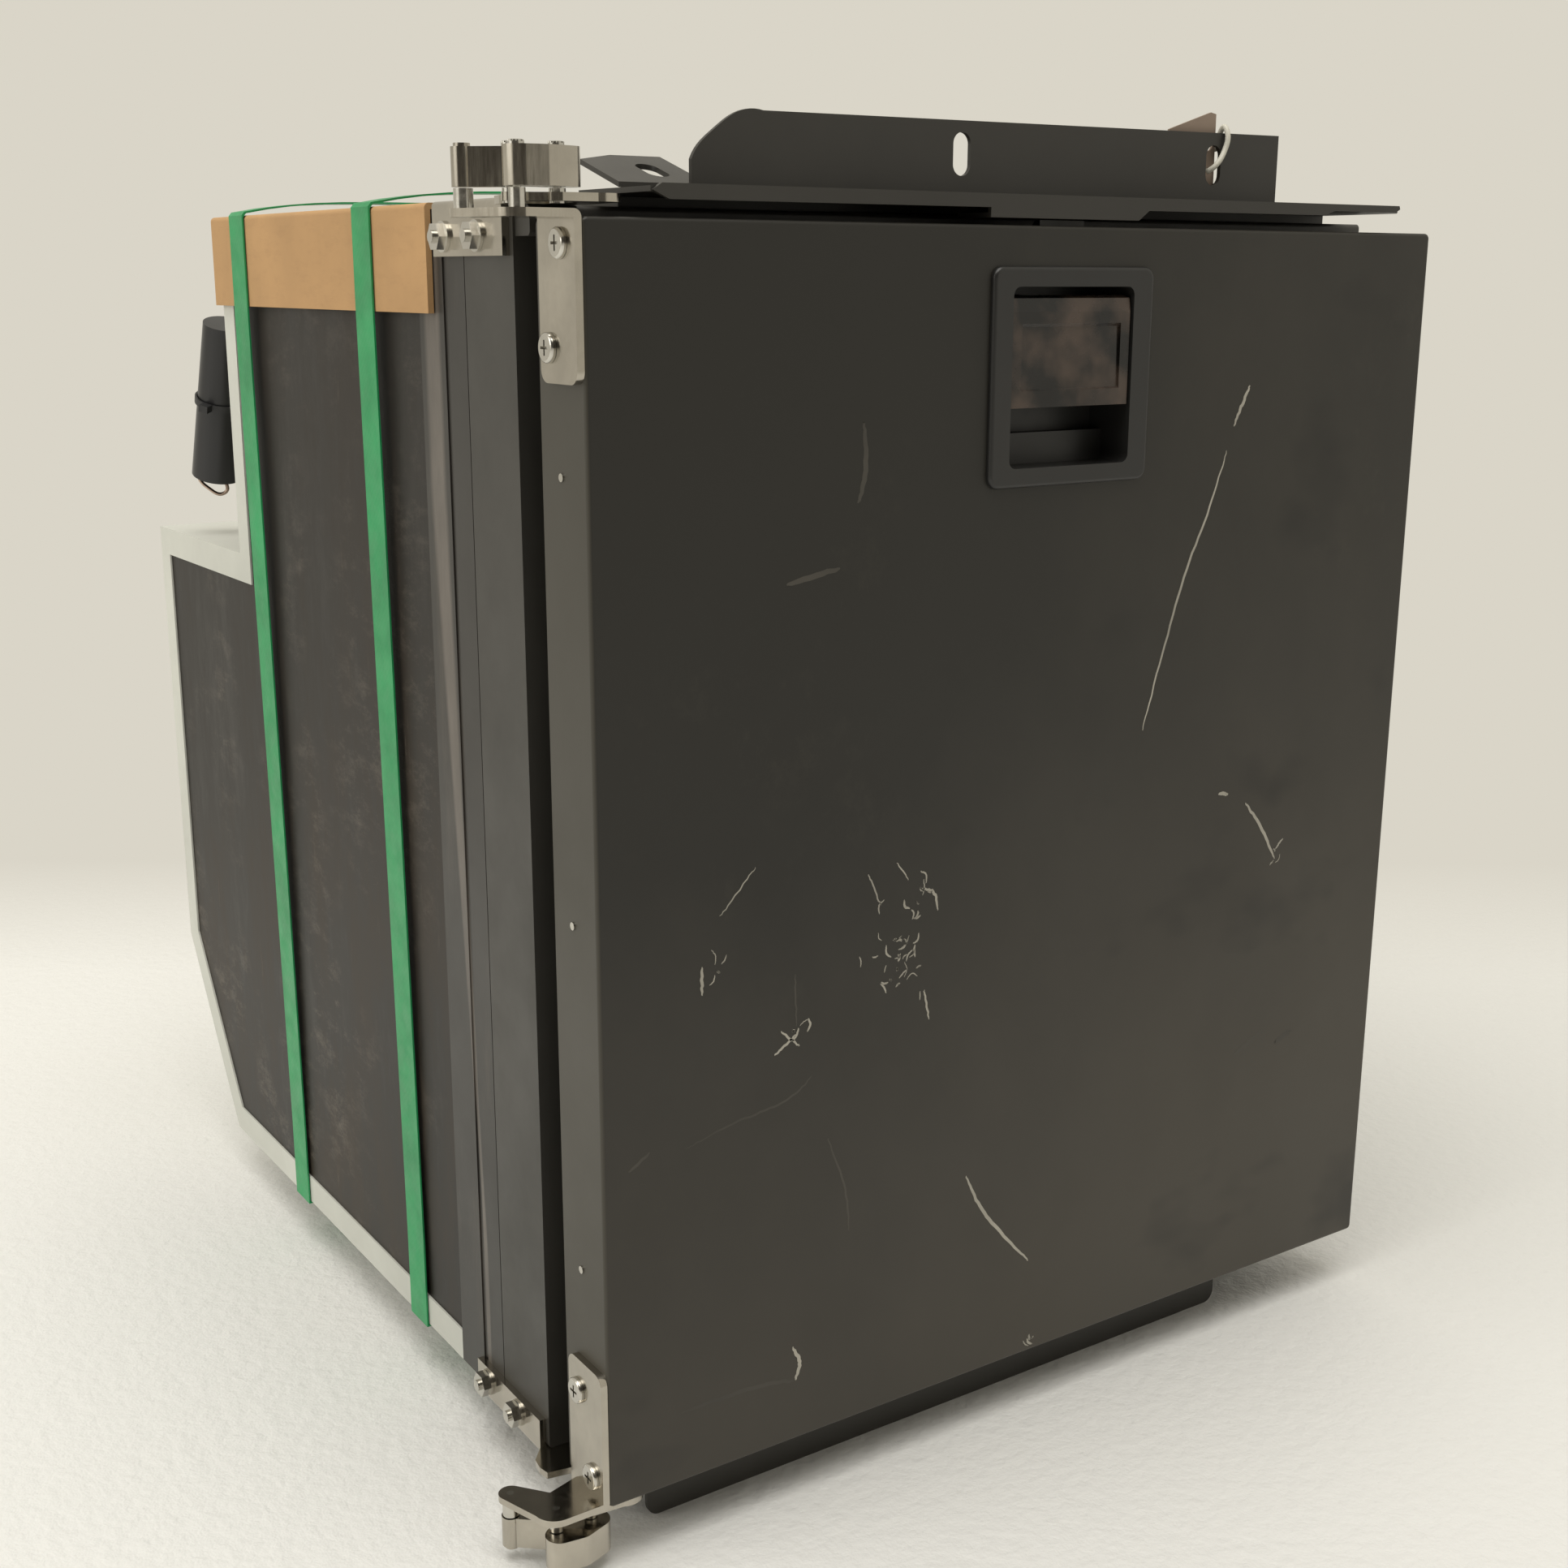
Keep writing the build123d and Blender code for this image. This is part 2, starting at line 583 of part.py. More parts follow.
def door_bracket(tall, screws):
    leaf = slab_z(door_leaf(), *DOOR_LEAF)
    side = prism_x(rect(0, 28, DOOR_LEAF[1] - tall, DOOR_LEAF[1]), -3, 0)
    bracket = leaf + side
    corners = bracket.edges().filter_by(Axis.X).group_by(Axis.Z)[0].sort_by(Axis.Y)
    bracket = fillet([corners[0], corners[-1]], 5)
    bend = [e for e in bracket.edges().filter_by(Axis.Y)
            if abs(e.center().X) < 0.1 and e.center().Z > DOOR_LEAF[1] - 0.1]
    bracket = fillet(bend, 2.9)
    for at in (PIN_D1, PIN_D2):
        bracket -= rod_z(at[0], at[1], PIN_R, DOOR_LEAF[0] - 1, DOOR_LEAF[1] + 1)
    for y, z in screws:
        bracket -= rod_x(y, z, 2.3, -4, 1)
    return bracket


def bracket_screws():
    screws = []
    for y, z in SCREW_PLACES:
        screw = rod_x(y, z, 2.2, -3.1, 9)
        head = rod_x(y, z, 5.6, -5.2, -3.1)
        head = fillet(head.edges().group_by(Axis.X)[0], 1.3)
        head -= block(-6, -4.0, y - 2.8, y + 2.8, z - 0.5, z + 0.5)
        head -= block(-6, -4.0, y - 0.5, y + 0.5, z - 2.8, z + 2.8)
        screws.append(screw + head)
    return screws


def door_pins():
    """Rear pin ends under the inner link; front pin runs through the outer link."""
    rear = rod_z(*PIN_D1, PIN_R, DOOR_LEAF[0], COLLAR[1]) + rod_z(*PIN_D1, 3.5, DOOR_LEAF[1], COLLAR[1])
    front = rod_z(*PIN_D2, PIN_R, DOOR_LEAF[0], LINK[1] + 0.2)
    front += rod_z(*PIN_D2, 3.0, DOOR_LEAF[1], COLLAR[1])
    front += rod_z(*PIN_D2, 3.0, LINK[1] + 0.2, PIN_HEAD_TOP)
    return both_hinges(rear) + both_hinges(front)


def crescent():
    """Plan of the outer link: two knuckles joined by a band that bows to the front."""
    heads = disc((PIN_D2[0], 5.6), 6.4) + disc((PIN_C2[0] + 0.6, 7.2), 6.4)
    return make_hull((heads + disc((-12.0, 4.2), 6.2)).edges())


def outer_link():
    """Crescent link between the front door pin and the front cabinet pin."""
    link = slab_z(crescent(), *LINK)
    for at in (PIN_D2, PIN_C2):
        link -= rod_z(at[0], at[1], BORE_R, LINK[0] - 1, LINK[1] + 1)
    return link


def inner_link():
    """Straight link from the rear cabinet pin; its far knuckle rides over the door pin."""
    arm = capsule(PIN_C1, PIN_D1, 2.9, 2.9) + disc(PIN_C1, KNUCKLE_R) + disc(PIN_D1, 4.0)
    link = slab_z(arm, *LINK) - rod_z(*PIN_C1, BORE_R, LINK[0] - 1, LINK[1] + 1)
    head = rod_z(*PIN_D1, 3.0, LINK[1], PIN_HEAD_TOP)
    return link + head


# ---------------------------------------------------------------- door
def door_skin():
    pan = block(0, WIDTH, 0, DOOR_BACK, 0, DOOR_TOP)
    pan = fillet(pan.edges().filter_by(Axis.Y), 2.5)
    pan = fillet(pan.edges().group_by(Axis.Y)[0], 1.6)
    pan -= block(SHEET, WIDTH - SHEET, SHEET, DOOR_BACK - SHEET, SHEET, DOOR_TOP - SHEET)
    pan -= block(14, WIDTH - 14, 20, DOOR_BACK + 1, 14, DOOR_TOP - 14)
    pan -= block(RECESS[0] - 2, RECESS[1] + 2, -1, 5, RECESS[2] - 2, RECESS[3] + 2)
    pan -= block(BOLT_X[0] - 1, BOLT_X[1] + 1, BOLT_Y[0] - 1, BOLT_Y[1] + 1, DOOR_TOP - 2, DOOR_TOP + 1)
    for z in RIVET_Z:
        pan -= rod_x(19.5, z, 1.15, -1, 2)
    for y, z in SCREW_PLACES:
        pan -= rod_x(y, z, 2.3, -1, 2)
    return pan


def edge_rivets():
    return [rod_x(19.5, z, 1.05, -0.1, 3) + rod_x(19.5, z, 1.6, -0.6, -0.05) for z in RIVET_Z]


def door_foam():
    """Foam of the door in slabs around the latch pot and the bolt's channel."""
    x0, x1, z0, z1 = 1.2, WIDTH - 1.2, 1.2, DOOR_TOP - 1.2
    y0, y1 = 1.2, DOOR_BACK - 1.2
    pot = (RECESS[0] - 2.2, RECESS[1] + 2.2, RECESS[2] - 2.2, RECESS[3] + 2.2)
    slabs = [block(x0, pot[0], y0, y1, z0, z1), block(pot[1], x1, y0, y1, z0, z1),
             block(pot[0], pot[1], y0, y1, z0, pot[2]),
             block(pot[0], pot[1], POT_DEPTH + 0.6, y1, pot[2], z1),
             block(pot[0], BOLT_X[0] - 1, y0, POT_DEPTH + 0.5, pot[3] + 2, z1),
             block(BOLT_X[1] + 1, pot[1], y0, POT_DEPTH + 0.5, pot[3] + 2, z1),
             block(BOLT_X[0] - 0.9, BOLT_X[1] + 0.9, BOLT_Y[1] + 1, POT_DEPTH + 0.5, pot[3] + 2, z1),
             block(BOLT_X[0] - 0.9, BOLT_X[1] + 0.9, y0, BOLT_Y[0] - 1, pot[3] + 2, z1)]
    for screw_y, z in SCREW_PLACES:
        slabs[0] -= rod_x(screw_y, z, 2.4, 0, 9.5)
    for z in RIVET_Z:
        slabs[0] -= rod_x(19.5, z, 1.6, 0, 3.5)
    return slabs


def door_liner():
    back = block(10, WIDTH - 10, DOOR_BACK + 0.1, DOOR_BACK + 2, 10, DOOR_TOP - 10)
    ring = block(48, 402, DOOR_BACK + 1, 70, 46, 466)
    ring = fillet(ring.edges().filter_by(Axis.Y), 8)
    ring -= block(60, 390, DOOR_BACK + 2, 71, 58, 454)
    return back + ring


def door_gasket():
    ring = block(12, 438, DOOR_BACK + 2.3, 53.4, 12, 500)
    ring = fillet(ring.edges().filter_by(Axis.Y), 6)
    ring -= block(28, 422, DOOR_BACK, 55, 28, 484)
    fold = block(10, 440, 43, 45, 10, 502) - block(16, 434, 42, 46, 16, 496)
    return ring - fold


def door_bin(z0, z1):
    shelf = block(61, 389, 37.4, 100, z0, z1)
    shelf = fillet(shelf.edges().filter_by(Axis.Z).group_by(Axis.Y)[-1], 10)
    shelf -= block(63, 387, 39.4, 98, z0 + 2, z1 + 1)
    window = block(90, 360, 96, 102, z0 + 0.4 * (z1 - z0), z0 + 0.68 * (z1 - z0))
    return shelf - fillet(window.edges().filter_by(Axis.Y), 4)


# ---------------------------------------------------------------- latch
def latch_bezel():
    x0, x1, z0, z1 = BEZEL
    frame = prism_y(rect(x0, x1, z0, z1, 5), -2.5, -0.05)
    frame = fillet(frame.edges().group_by(Axis.Y)[0], 1.8)
    r0, r1, s0, s1 = RECESS
    pot = prism_y(rect(r0 - 1.6, r1 + 1.6, s0 - 1.6, s1 + 1.6, 5), -1, POT_DEPTH)
    bezel = frame + pot
    bezel -= prism_y(rect(r0, r1, s0, s1, 3.6), -3, POT_DEPTH - 1.6)
    ledge = block(r0 - 0.5, r1 + 0.5, 15, POT_DEPTH - 1, s0 - 0.5, 428)
    bezel += ledge
    bezel -= block(BOLT_X[0] - 0.5, BOLT_X[1] + 0.5, BOLT_Y[0] - 0.5, BOLT_Y[1] + 0.5, s1 - 2, s1 + 3)
    return bezel - rod_x(*PADDLE_AXIS, 1.55, r0 - 2, r1 + 2)


def latch_pin():
    return rod_x(*PADDLE_AXIS, 1.5, RECESS[0] - 1.4, RECESS[1] + 1.4)


def latch_paddle():
    x0, x1 = 195.5, 259.5
    side = poly((-1.4, 439.5), (1.2, 439.5), (2.4, 462), (5, 470), (8.6, 478), (8.8, 484), (3.4, 484.6),
                (-0.6, 483.4), (-1.4, 478))
    paddle = prism_x(side, x0, x1)
    dish = prism_x(poly((-3, 445), (-0.5, 447), (-0.2, 472), (-3, 475)), x0 + 5, x1 - 5)
    paddle -= dish
    crank = prism_x(poly((5, 478), (14, 474.5), (15.5, 477.5), (8, 484)), BOLT_X[0] + 3, BOLT_X[1] - 3)
    paddle = paddle + crank
    for spring_x in SPRING_X:
        paddle -= rod_x(*PADDLE_AXIS, 3.9, spring_x - 0.5, spring_x + 6.5)
    return paddle - rod_x(*PADDLE_AXIS, 1.56, x0 - 1, x1 + 1)


def latch_bolt():
    bolt = block(BOLT_X[0], BOLT_X[1], BOLT_Y[0], BOLT_Y[1], BOLT_FOOT, BOLT_TOP)
    bolt = chamfer(bolt.edges().filter_by(Axis.X).group_by(Axis.Z)[-1].sort_by(Axis.Y)[-1], 3)
    return bolt


def latch_spring():
    """Two torsion coils on the paddle's pin."""
    coils = []
    for x0 in SPRING_X:
        coil = rod_x(*PADDLE_AXIS, 3.4, x0, x0 + 6) - rod_x(*PADDLE_AXIS, 1.9, x0 - 1, x0 + 7)
        for i in range(4):
            coil -= rod_x(*PADDLE_AXIS, 4, x0 + 1.1 + 1.4 * i, x0 + 1.4 + 1.4 * i) - rod_x(
                *PADDLE_AXIS, 3.1, x0, x0 + 6)
        coils.append(coil)
    return coils


# ---------------------------------------------------------------- packing
def strap_loop(y0):
    """One closed strap, standing off the top where it bows over the edge protector."""
    def path(out):
        left = -0.5 - out
        card = -3.6 - out
        right = WIDTH + 0.5 + out
        low_z = -1.5 - out
        top = CAB_TOP + 0.5 + out
        bow = Spline((card + 1.5, 520.8 + out), (20, 524.4 + out), (60, 526.6 + out), (170, 525.2 + out),
                     (300, 520.4 + out), (430, top + 0.3))
        points = [(430, top + 0.3), (right, top), (right, low_z), (left, low_z), (left, 40),
                  (card, 478), (card, 519 + out), (card + 1.5, 520.8 + out)]
        return make_face([bow] + [Line(a, b) for a, b in zip(points, points[1:])])
    return prism_y(path(STRAP_T) - path(0), y0, y0 + STRAP_W)


def edge_protector():
    side = block(-3.1, -0.6, 126, 389, 477, 519.9)
    top = block(-3.1, 43, 126, 389, 517.4, 519.9)
    card = side + top
    return fillet(card.edges().filter_by(Axis.Y).sort_by(lambda e: e.center().X - e.center().Z)[0], 2.2)


def hang_tag():
    card = prism_y(poly((306, 527), (334.6, 527), (334.2, 562), (331, 562.6), (306, 554.6)), 28.4, 29.4)
    return card - rod_y(329.5, 549.3, 3.2, 27, 31)


def tag_tie():
    """Plastic loop from the right slot up the flange's face and over its edge beside the tag."""
    return tube([(328.5, 26.5, 537.5), (330, 23.6, 539.5), (335.5, 23.2, 547), (337, 23.6, 553.5),
                 (337.2, 26, 556.6), (337.4, 29.2, 553), (337, 30.6, 547)], 1.2)


# ---------------------------------------------------------------- write every node
write("outer_wrapper", outer_wrapper())
write("side_panels", [side_panel(SHEET + 0.1), side_panel(WIDTH - 2 * SHEET - 0.1)])
write("front_frame", front_frame())
write("frame_skirt", frame_skirt())
write("cabinet_insulation", cabinet_insulation())
write("inner_liner", inner_liner())
write("evaporator", evaporator())
write("freezer_flap", freezer_flap())
write("drip_tray", drip_tray())
write("wire_shelves", [wire_shelf(z) for z in SHELF_Z])
write("crisper_bin", crisper_bin())
write("thermostat_housing", thermostat_housing())
write("thermostat_knob", thermostat_knob())
write("lamp_lens", lamp_lens())
write("compressor_mount_plate", compressor_mount_plate())
write("grommets", grommets())
write("compressor_bolts", compressor_bolts())
write("compressor", compressor())
write("controller", controller())
write("filter_drier", filter_drier())
write("fan_shroud", fan_shroud())
write("fan_rotor", fan_rotor())
write("condenser", condenser())
write("refrigerant_pipes", refrigerant_pipes())
write("suction_line", suction_line())
write("capillary_loop", capillary_loop())
write("cable_tie", cable_tie())
write("power_inlet", power_inlet())
write("mounting_flange", mounting_flange())
write("hood_plate", hood_plate())
write("hood_screws", hood_screws())
write("base_flange", base_flange())
write("rear_feet", rear_feet())
write("hinge_bracket_cabinet_top", cabinet_bracket((517.05, 520), (499, 519)))
write("hinge_bracket_cabinet_bottom", cabinet_bracket((-4, -1.05), (-3, 12)))
write("cabinet_bracket_nuts", cabinet_bracket_nuts())
write("cabinet_hinge_pins", cabinet_pins())
write("hinge_bracket_door_top", door_bracket(60.5, TOP_SCREWS))
write("hinge_bracket_door_bottom", low(door_bracket(60.5, LOW_SCREWS)))
write("bracket_screws", bracket_screws())
write("door_hinge_pins", door_pins())
write("outer_link_top", outer_link())
write("outer_link_bottom", low(outer_link()))
write("inner_links", both_hinges(inner_link()))
write("door_skin", door_skin())
write("edge_rivets", edge_rivets())
write("door_foam", door_foam())
write("door_liner", door_liner())
write("door_gasket", door_gasket())
write("door_bin_upper", door_bin(300, 350))
write("door_bin_lower", door_bin(60, 130))
write("latch_bezel", latch_bezel())
write("latch_pin", latch_pin())
write("latch_paddle", latch_paddle())
write("latch_bolt", latch_bolt())
write("packing_straps", [strap_loop(y0) for y0 in STRAP_Y])
write("edge_protector", edge_protector())
write("hang_tag", hang_tag())
write("tag_tie", tag_tie())
write("latch_spring", latch_spring())
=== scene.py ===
import json
import math
import random

import bpy
from mathutils import Matrix, Vector


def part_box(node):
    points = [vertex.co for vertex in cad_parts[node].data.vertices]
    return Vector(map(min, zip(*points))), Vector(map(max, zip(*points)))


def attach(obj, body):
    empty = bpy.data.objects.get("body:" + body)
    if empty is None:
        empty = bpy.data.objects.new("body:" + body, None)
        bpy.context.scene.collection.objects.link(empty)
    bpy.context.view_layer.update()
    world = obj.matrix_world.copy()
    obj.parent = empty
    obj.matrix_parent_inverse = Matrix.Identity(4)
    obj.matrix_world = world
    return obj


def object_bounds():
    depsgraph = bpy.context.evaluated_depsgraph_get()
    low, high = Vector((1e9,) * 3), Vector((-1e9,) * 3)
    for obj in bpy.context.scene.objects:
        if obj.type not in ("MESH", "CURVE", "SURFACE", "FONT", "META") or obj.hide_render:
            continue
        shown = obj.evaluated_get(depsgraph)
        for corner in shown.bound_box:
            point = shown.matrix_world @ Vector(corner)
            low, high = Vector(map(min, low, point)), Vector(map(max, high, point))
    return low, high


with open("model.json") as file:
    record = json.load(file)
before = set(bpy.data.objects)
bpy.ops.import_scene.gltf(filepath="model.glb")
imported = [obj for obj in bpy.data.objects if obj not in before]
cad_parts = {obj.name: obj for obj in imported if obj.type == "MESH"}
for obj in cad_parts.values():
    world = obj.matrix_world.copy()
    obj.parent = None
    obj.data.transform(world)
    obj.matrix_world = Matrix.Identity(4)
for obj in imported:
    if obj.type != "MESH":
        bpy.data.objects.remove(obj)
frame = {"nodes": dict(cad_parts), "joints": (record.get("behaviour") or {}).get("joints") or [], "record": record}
cad_lo, cad_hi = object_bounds()
MM = 0.001
nodes = frame["nodes"]
record = frame["record"]
scene = bpy.context.scene

# ---------------------------------------------------------------- camera
CAMERA_AT = (-0.54597, -0.89495, 0.5194)
HEADING = math.radians(33.78)
PITCH = math.radians(14.37)
ROLL = math.radians(-0.14)
LENS = 45.4


def make_camera():
    """Camera from its place, heading from +Y towards +X, pitch below level and roll."""
    data = bpy.data.cameras.new("camera")
    data.sensor_width = 36.0
    data.lens = LENS
    data.clip_start = 0.01
    data.clip_end = 100.0
    cam = bpy.data.objects.new("camera", data)
    scene.collection.objects.link(cam)
    level = math.cos(PITCH)
    forward = Vector((math.sin(HEADING) * level, math.cos(HEADING) * level, -math.sin(PITCH)))
    right = forward.cross(Vector((0, 0, 1))).normalized()
    up = right.cross(forward)
    turned_right = math.cos(ROLL) * right - math.sin(ROLL) * up
    turned_up = turned_right.cross(forward)
    cam.matrix_world = Matrix((
        (turned_right.x, turned_up.x, -forward.x, CAMERA_AT[0]),
        (turned_right.y, turned_up.y, -forward.y, CAMERA_AT[1]),
        (turned_right.z, turned_up.z, -forward.z, CAMERA_AT[2]),
        (0, 0, 0, 1)))
    scene.camera = cam


make_camera()


# ---------------------------------------------------------------- material helpers
class Graph:
    """A material's node tree with short helpers."""

    def __init__(self, name, base, rough, metal=0.0):
        self.mat = bpy.data.materials.new(name)
        self.mat.use_nodes = True
        self.tree = self.mat.node_tree
        self.shader = self.tree.nodes["Principled BSDF"]
        self.shader.inputs["Base Color"].default_value = (*base, 1)
        self.shader.inputs["Roughness"].default_value = rough
        self.shader.inputs["Metallic"].default_value = metal
        self.coord = self.tree.nodes.new("ShaderNodeTexCoord")

    def link(self, a, b):
        self.tree.links.new(a, b)

    def noise(self, scale, stretch=(1, 1, 1), detail=4.0, rough=0.6, shift=(0, 0, 0)):
        mapping = self.tree.nodes.new("ShaderNodeMapping")
        mapping.inputs["Scale"].default_value = stretch
        mapping.inputs["Location"].default_value = shift
        self.link(self.coord.outputs["Object"], mapping.inputs["Vector"])
        noise = self.tree.nodes.new("ShaderNodeTexNoise")
        noise.inputs["Scale"].default_value = scale
        noise.inputs["Detail"].default_value = detail
        noise.inputs["Roughness"].default_value = rough
        self.link(mapping.outputs["Vector"], noise.inputs["Vector"])
        return noise.outputs["Fac"]

    def cells(self, scale):
        voronoi = self.tree.nodes.new("ShaderNodeTexVoronoi")
        voronoi.inputs["Scale"].default_value = scale
        self.link(self.coord.outputs["Object"], voronoi.inputs["Vector"])
        return voronoi.outputs["Distance"]

    def ramp(self, value, low, high, out_low=0.0, out_high=1.0):
        node = self.tree.nodes.new("ShaderNodeMapRange")
        node.inputs["From Min"].default_value = low
        node.inputs["From Max"].default_value = high
        node.inputs["To Min"].default_value = out_low
        node.inputs["To Max"].default_value = out_high
        self.link(value, node.inputs["Value"])
        return node.outputs["Result"]

    def math(self, kind, a, b):
        node = self.tree.nodes.new("ShaderNodeMath")
        node.operation = kind
        self.link(a, node.inputs[0])
        if isinstance(b, (int, float)):
            node.inputs[1].default_value = b
        else:
            self.link(b, node.inputs[1])
        return node.outputs["Value"]

    def mix(self, factor, first, second):
        node = self.tree.nodes.new("ShaderNodeMix")
        node.data_type = "RGBA"
        self.link(factor, node.inputs["Factor"])
        for socket, value in ((node.inputs["A"], first), (node.inputs["B"], second)):
            if isinstance(value, tuple):
                socket.default_value = (*value, 1)
            else:
                self.link(value, socket)
        return node.outputs["Result"]

    def axis(self, name):
        split = self.tree.nodes.new("ShaderNodeSeparateXYZ")
        self.link(self.coord.outputs["Object"], split.inputs["Vector"])
        return split.outputs[name]

    def colour(self, socket):
        self.link(socket, self.shader.inputs["Base Color"])

    def roughness(self, socket):
        self.link(socket, self.shader.inputs["Roughness"])

    def bump(self, height, strength, distance):
        node = self.tree.nodes.new("ShaderNodeBump")
        node.inputs["Strength"].default_value = strength
        node.inputs["Distance"].default_value = distance
        self.link(height, node.inputs["Height"])
        if self.shader.inputs["Normal"].is_linked:
            self.link(self.shader.inputs["Normal"].links[0].from_socket, node.inputs["Normal"])
        self.link(node.outputs["Normal"], self.shader.inputs["Normal"])

    def glow(self, factor, colour, strength):
        """Blend the surface into plain emission."""
        emission = self.tree.nodes.new("ShaderNodeEmission")
        emission.inputs["Color"].default_value = (*colour, 1)
        emission.inputs["Strength"].default_value = strength
        blend = self.tree.nodes.new("ShaderNodeMixShader")
        self.link(factor, blend.inputs[0])
        self.link(self.shader.outputs["BSDF"], blend.inputs[1])
        self.link(emission.outputs["Emission"], blend.inputs[2])
        self.link(blend.outputs["Shader"], self.tree.nodes["Material Output"].inputs["Surface"])


def shade(colour, factor):
    """A lighter or darker version of a colour."""
    return tuple(min(1.0, c * factor) for c in colour)


def painted(name, base, rough, dust=(0.16, 0.14, 0.11), dust_amount=0.25, grain=1500.0):
    """Powder paint: orange-peel grain and dusty smudges."""
    g = Graph(name, base, rough)
    cloud = g.noise(7.0, detail=5.0)
    smudge = g.ramp(g.noise(3.2, detail=6.0, rough=0.7, shift=(3, 1, 2)), 0.45, 0.78, 0.0, dust_amount)
    toned = g.mix(g.ramp(cloud, 0.3, 0.7), shade(base, 0.86), shade(base, 1.12))
    g.colour(g.mix(smudge, toned, dust))
    g.roughness(g.ramp(g.noise(11.0, detail=6.0, shift=(1, 7, 3)), 0.3, 0.75, rough - 0.06, rough + 0.12))
    g.bump(g.noise(grain, detail=2.0), 0.25, 0.00006)
    return g


def metal(name, base, rough, stretch=(1, 1, 1), scale=300.0, strength=0.12, stain=0.86):
    """Worked metal: directional grain, faint stains, roughness breakup."""
    g = Graph(name, base, rough, 1.0)
    stain_mask = g.ramp(g.noise(45.0, detail=5.0), 0.35, 0.7)
    g.colour(g.mix(stain_mask, shade(base, stain), base))
    brushed = g.noise(scale, stretch=stretch, detail=6.0, rough=0.7)
    g.roughness(g.ramp(brushed, 0.25, 0.75, max(0.03, rough - 0.07), rough + 0.1))
    g.bump(brushed, strength, 0.00004)
    return g


def moulded(name, base, rough, grain=2600.0, strength=0.2, mottle=0.1):
    """Moulded plastic or rubber: fine spark-eroded grain and handling marks."""
    g = Graph(name, base, rough)
    cloud = g.ramp(g.noise(18.0, detail=5.0), 0.3, 0.7)
    g.colour(g.mix(cloud, shade(base, 1 - mottle), shade(base, 1 + mottle)))
    g.roughness(g.ramp(g.noise(30.0, detail=4.0, shift=(2, 2, 5)), 0.3, 0.7, rough - 0.05, rough + 0.08))
    g.bump(g.noise(grain, detail=2.0), strength, 0.00005)
    return g


# ---------------------------------------------------------------- the object's materials
def door_material():
    """Door paint: darker above, dusty below, with broad smears, dark finger marks and painted light on the left
    side strip.
    """
    skin_lo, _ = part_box("door_skin")
    base = (0.017, 0.0158, 0.0125)
    dusty = (0.056, 0.049, 0.038)
    g = Graph("door paint", base, 0.42)
    height = g.ramp(g.axis("Z"), 0.06, 0.34, 1.0, 0.0)
    across = g.ramp(g.axis("X"), -0.22, 0.20, -0.25, 0.30)
    smear = g.ramp(g.noise(4.0, stretch=(1, 1, 0.7), detail=6.0, rough=0.65), 0.3, 0.75, -0.25, 0.3)
    dust = g.math("ADD", g.math("ADD", height, across), smear)
    toned = g.mix(g.ramp(dust, 0.0, 1.1), base, dusty)
    blots = g.ramp(g.noise(9.0, stretch=(1, 1, 1.6), detail=3.0, shift=(7, 3, 2)), 0.62, 0.74, 0.0, 0.55)
    toned = g.mix(blots, toned, shade(base, 0.6))
    hair = g.noise(26.0, stretch=(1.0, 14.0, 0.8), detail=8.0, rough=0.8, shift=(5, 2, 0))
    patch = g.ramp(g.noise(5.0, shift=(9, 4, 1)), 0.5, 0.72)
    toned = g.mix(g.math("MULTIPLY", g.ramp(hair, 0.56, 0.72, 0.0, 0.22), patch), toned, (0.10, 0.09, 0.07))
    # painted light: the skin's left side strip is painted lighter, standing for the light that falls on it from
    # the left
    edge = g.ramp(g.axis("X"), skin_lo.x + 0.0006, skin_lo.x + 0.0014, 0.8, 0.0)
    g.colour(g.mix(edge, toned, (0.058, 0.053, 0.041)))
    g.roughness(g.ramp(g.noise(11.0, detail=6.0, shift=(1, 7, 3)), 0.3, 0.75, 0.36, 0.52))
    g.bump(g.noise(1500.0, detail=2.0), 0.25, 0.00006)
    g.shader.inputs["Specular IOR Level"].default_value = 0.38
    return g.mat


def skirt_material():
    """Pressed band: dark paint with rubbed patches and a pale painted highlight along the tapering ridge of its
    groove.
    """
    base = (0.021, 0.0185, 0.0155)
    g = Graph("skirt sheet", base, 0.42)
    # painted highlight: a pale streak that tapers down the groove's ridge stands for the sheen on the bulged sheet
    centre = g.ramp(g.axis("Z"), 0.10, 0.435, -0.1494, -0.1318)
    half = g.ramp(g.axis("Z"), 0.20, 0.435, 0.0022, 0.0075)
    offset = g.math("ABSOLUTE", g.math("SUBTRACT", g.axis("Y"), centre), 0.0)
    painted_highlight_streak = g.ramp(g.math("DIVIDE", offset, half), 0.65, 1.15, 0.85, 0.0)
    highlight_breakup = g.ramp(g.noise(30.0, stretch=(1, 1, 0.25), detail=6.0, rough=0.7), 0.3, 0.7, 0.35, 1.0)
    rub = g.ramp(g.noise(14.0, stretch=(1, 3, 0.5), detail=7.0, rough=0.75), 0.52, 0.74, 0.0, 0.5)
    toned = g.mix(rub, base, (0.085, 0.070, 0.056))
    g.colour(g.mix(g.math("MULTIPLY", painted_highlight_streak, highlight_breakup), toned, (0.17, 0.148, 0.128)))
    g.roughness(g.ramp(g.noise(11.0, detail=6.0), 0.3, 0.75, 0.34, 0.52))
    g.bump(g.noise(1500.0, detail=2.0), 0.2, 0.00006)
    return g.mat


def paddle_material():
    """Glossier moulding with brownish finger smudges."""
    base = (0.006, 0.0055, 0.005)
    g = Graph("paddle moulding", base, 0.2)
    smudge = g.ramp(g.noise(34.0, detail=3.0, rough=0.6), 0.42, 0.62, 0.0, 0.9)
    g.colour(g.mix(smudge, base, (0.070, 0.048, 0.036)))
    g.roughness(g.ramp(g.noise(60.0, detail=5.0, shift=(3, 3, 3)), 0.35, 0.7, 0.12, 0.42))
    g.bump(g.noise(1600.0, detail=2.0), 0.12, 0.00005)
    return g.mat


